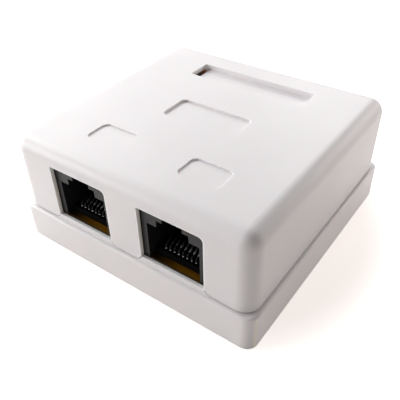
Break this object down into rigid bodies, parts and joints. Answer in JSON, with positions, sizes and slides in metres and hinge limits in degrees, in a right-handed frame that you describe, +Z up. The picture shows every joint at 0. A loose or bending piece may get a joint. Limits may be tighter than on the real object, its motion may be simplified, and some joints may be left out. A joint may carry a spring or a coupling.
{
  "type": "surface mount jack box",
  "caption": "Low square surface mount box with a lift-off cover, RJ45 jacks side by side at the front, and punch-down terminals on a board inside.",
  "frame": {"origin": "middle of the underside of the base", "axes": "+X along the port face, +Y from the port face to the back, +Z up through the cover"},
  "size_m": [0.06, 0.0592, 0.026],
  "materials": {
    "white_abs": "satin",
    "black_plastic": "satin",
    "carrier_plastic": "matte",
    "board_laminate": "varnished",
    "contact_metal": "bright plated",
    "terminal_plastic": "satin",
    "terminal_metal": "tin plated",
    "screw_steel": "zinc plated"
  },
  "bodies": {
    "box": {"base": "white_abs", "circuit_board": "board_laminate", "jack_housing_1": "black_plastic", "contact_carrier_1": "carrier_plastic", "port_1_contact_1": "contact_metal", "port_1_contact_2": "contact_metal", "port_1_contact_3": "contact_metal", "port_1_contact_4": "contact_metal", "port_1_contact_5": "contact_metal", "port_1_contact_6": "contact_metal", "port_1_contact_7": "contact_metal", "port_1_contact_8": "contact_metal", "terminal_block_1a": "terminal_plastic", "terminal_clip_1a_1": "terminal_metal", "terminal_clip_1a_2": "terminal_metal", "terminal_clip_1a_3": "terminal_metal", "terminal_clip_1a_4": "terminal_metal", "terminal_block_1b": "terminal_plastic", "terminal_clip_1b_1": "terminal_metal", "terminal_clip_1b_2": "terminal_metal", "terminal_clip_1b_3": "terminal_metal", "terminal_clip_1b_4": "terminal_metal", "jack_housing_2": "black_plastic", "contact_carrier_2": "carrier_plastic", "port_2_contact_1": "contact_metal", "port_2_contact_2": "contact_metal", "port_2_contact_3": "contact_metal", "port_2_contact_4": "contact_metal", "port_2_contact_5": "contact_metal", "port_2_contact_6": "contact_metal", "port_2_contact_7": "contact_metal", "port_2_contact_8": "contact_metal", "terminal_block_2a": "terminal_plastic", "terminal_clip_2a_1": "terminal_metal", "terminal_clip_2a_2": "terminal_metal", "terminal_clip_2a_3": "terminal_metal", "terminal_clip_2a_4": "terminal_metal", "terminal_block_2b": "terminal_plastic", "terminal_clip_2b_1": "terminal_metal", "terminal_clip_2b_2": "terminal_metal", "terminal_clip_2b_3": "terminal_metal", "terminal_clip_2b_4": "terminal_metal", "board_screw_1": "screw_steel", "board_screw_2": "screw_steel", "board_screw_3": "screw_steel"},
    "lid": {"cover": "white_abs"}
  },
  "joints": [
    {"name": "cover_lift", "type": "slide", "parent": "box", "child": "lid", "axis": [0, 0, 1], "range_m": [0, 0.03]}
  ]
}
